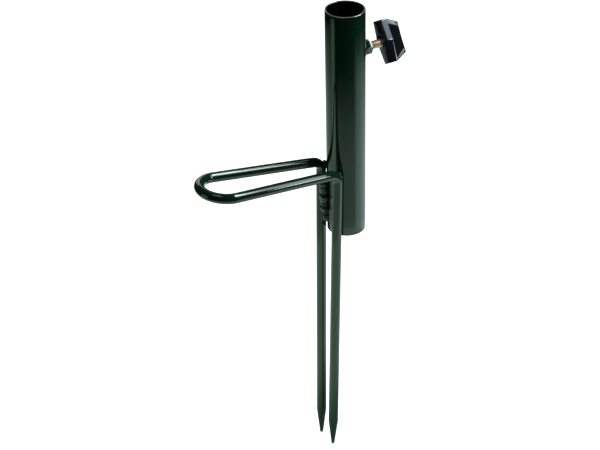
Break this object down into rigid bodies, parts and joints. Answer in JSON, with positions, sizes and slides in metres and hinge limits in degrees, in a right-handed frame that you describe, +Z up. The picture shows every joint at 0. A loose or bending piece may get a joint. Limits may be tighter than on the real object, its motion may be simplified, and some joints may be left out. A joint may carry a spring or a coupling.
{
  "type": "ground-spike rod holder",
  "caption": "Steel ground-spike rod holder: open socket tube with a wing clamp screw, welded to one bent round bar that makes a foot loop and two pointed prongs.",
  "frame": {"origin": "on the socket tube's axis at its lower end, which is the ground line", "axes": "+Z up along the socket tube, +X to the clamp screw, -X to the foot loop"},
  "size_m": [0.224, 0.0548, 0.493],
  "materials": {
    "green_paint": "gloss",
    "green_paint_bar": "gloss",
    "weld": "gloss",
    "zinc_yellow": "satin",
    "black_knob": "gloss"
  },
  "bodies": {
    "holder": {"socket_tube": "green_paint", "fork_bar": "green_paint_bar", "clamp_nut": "green_paint", "weld_side_a": "weld", "weld_side_b": "weld", "weld_top_a": "weld", "weld_top_b": "weld", "weld_nut": "weld"},
    "screw": {"clamp_screw": "zinc_yellow"},
    "knob": {"clamp_knob": "black_knob"}
  },
  "joints": [
    {"name": "screw_advance", "type": "slide", "parent": "holder", "child": "screw", "axis": [-1, 0, 0], "range_m": [-0.00375, 0.01063]},
    {"name": "knob_turn", "type": "hinge", "parent": "screw", "child": "knob", "pos_m": [0.045, 0, 0.19], "axis": [-1, 0, 0], "range_deg": [-1080, 3060]}
  ],
  "couplings": [
    {"joint": "knob_turn", "follows": "screw_advance", "rad_per_m": 5026.5}
  ]
}
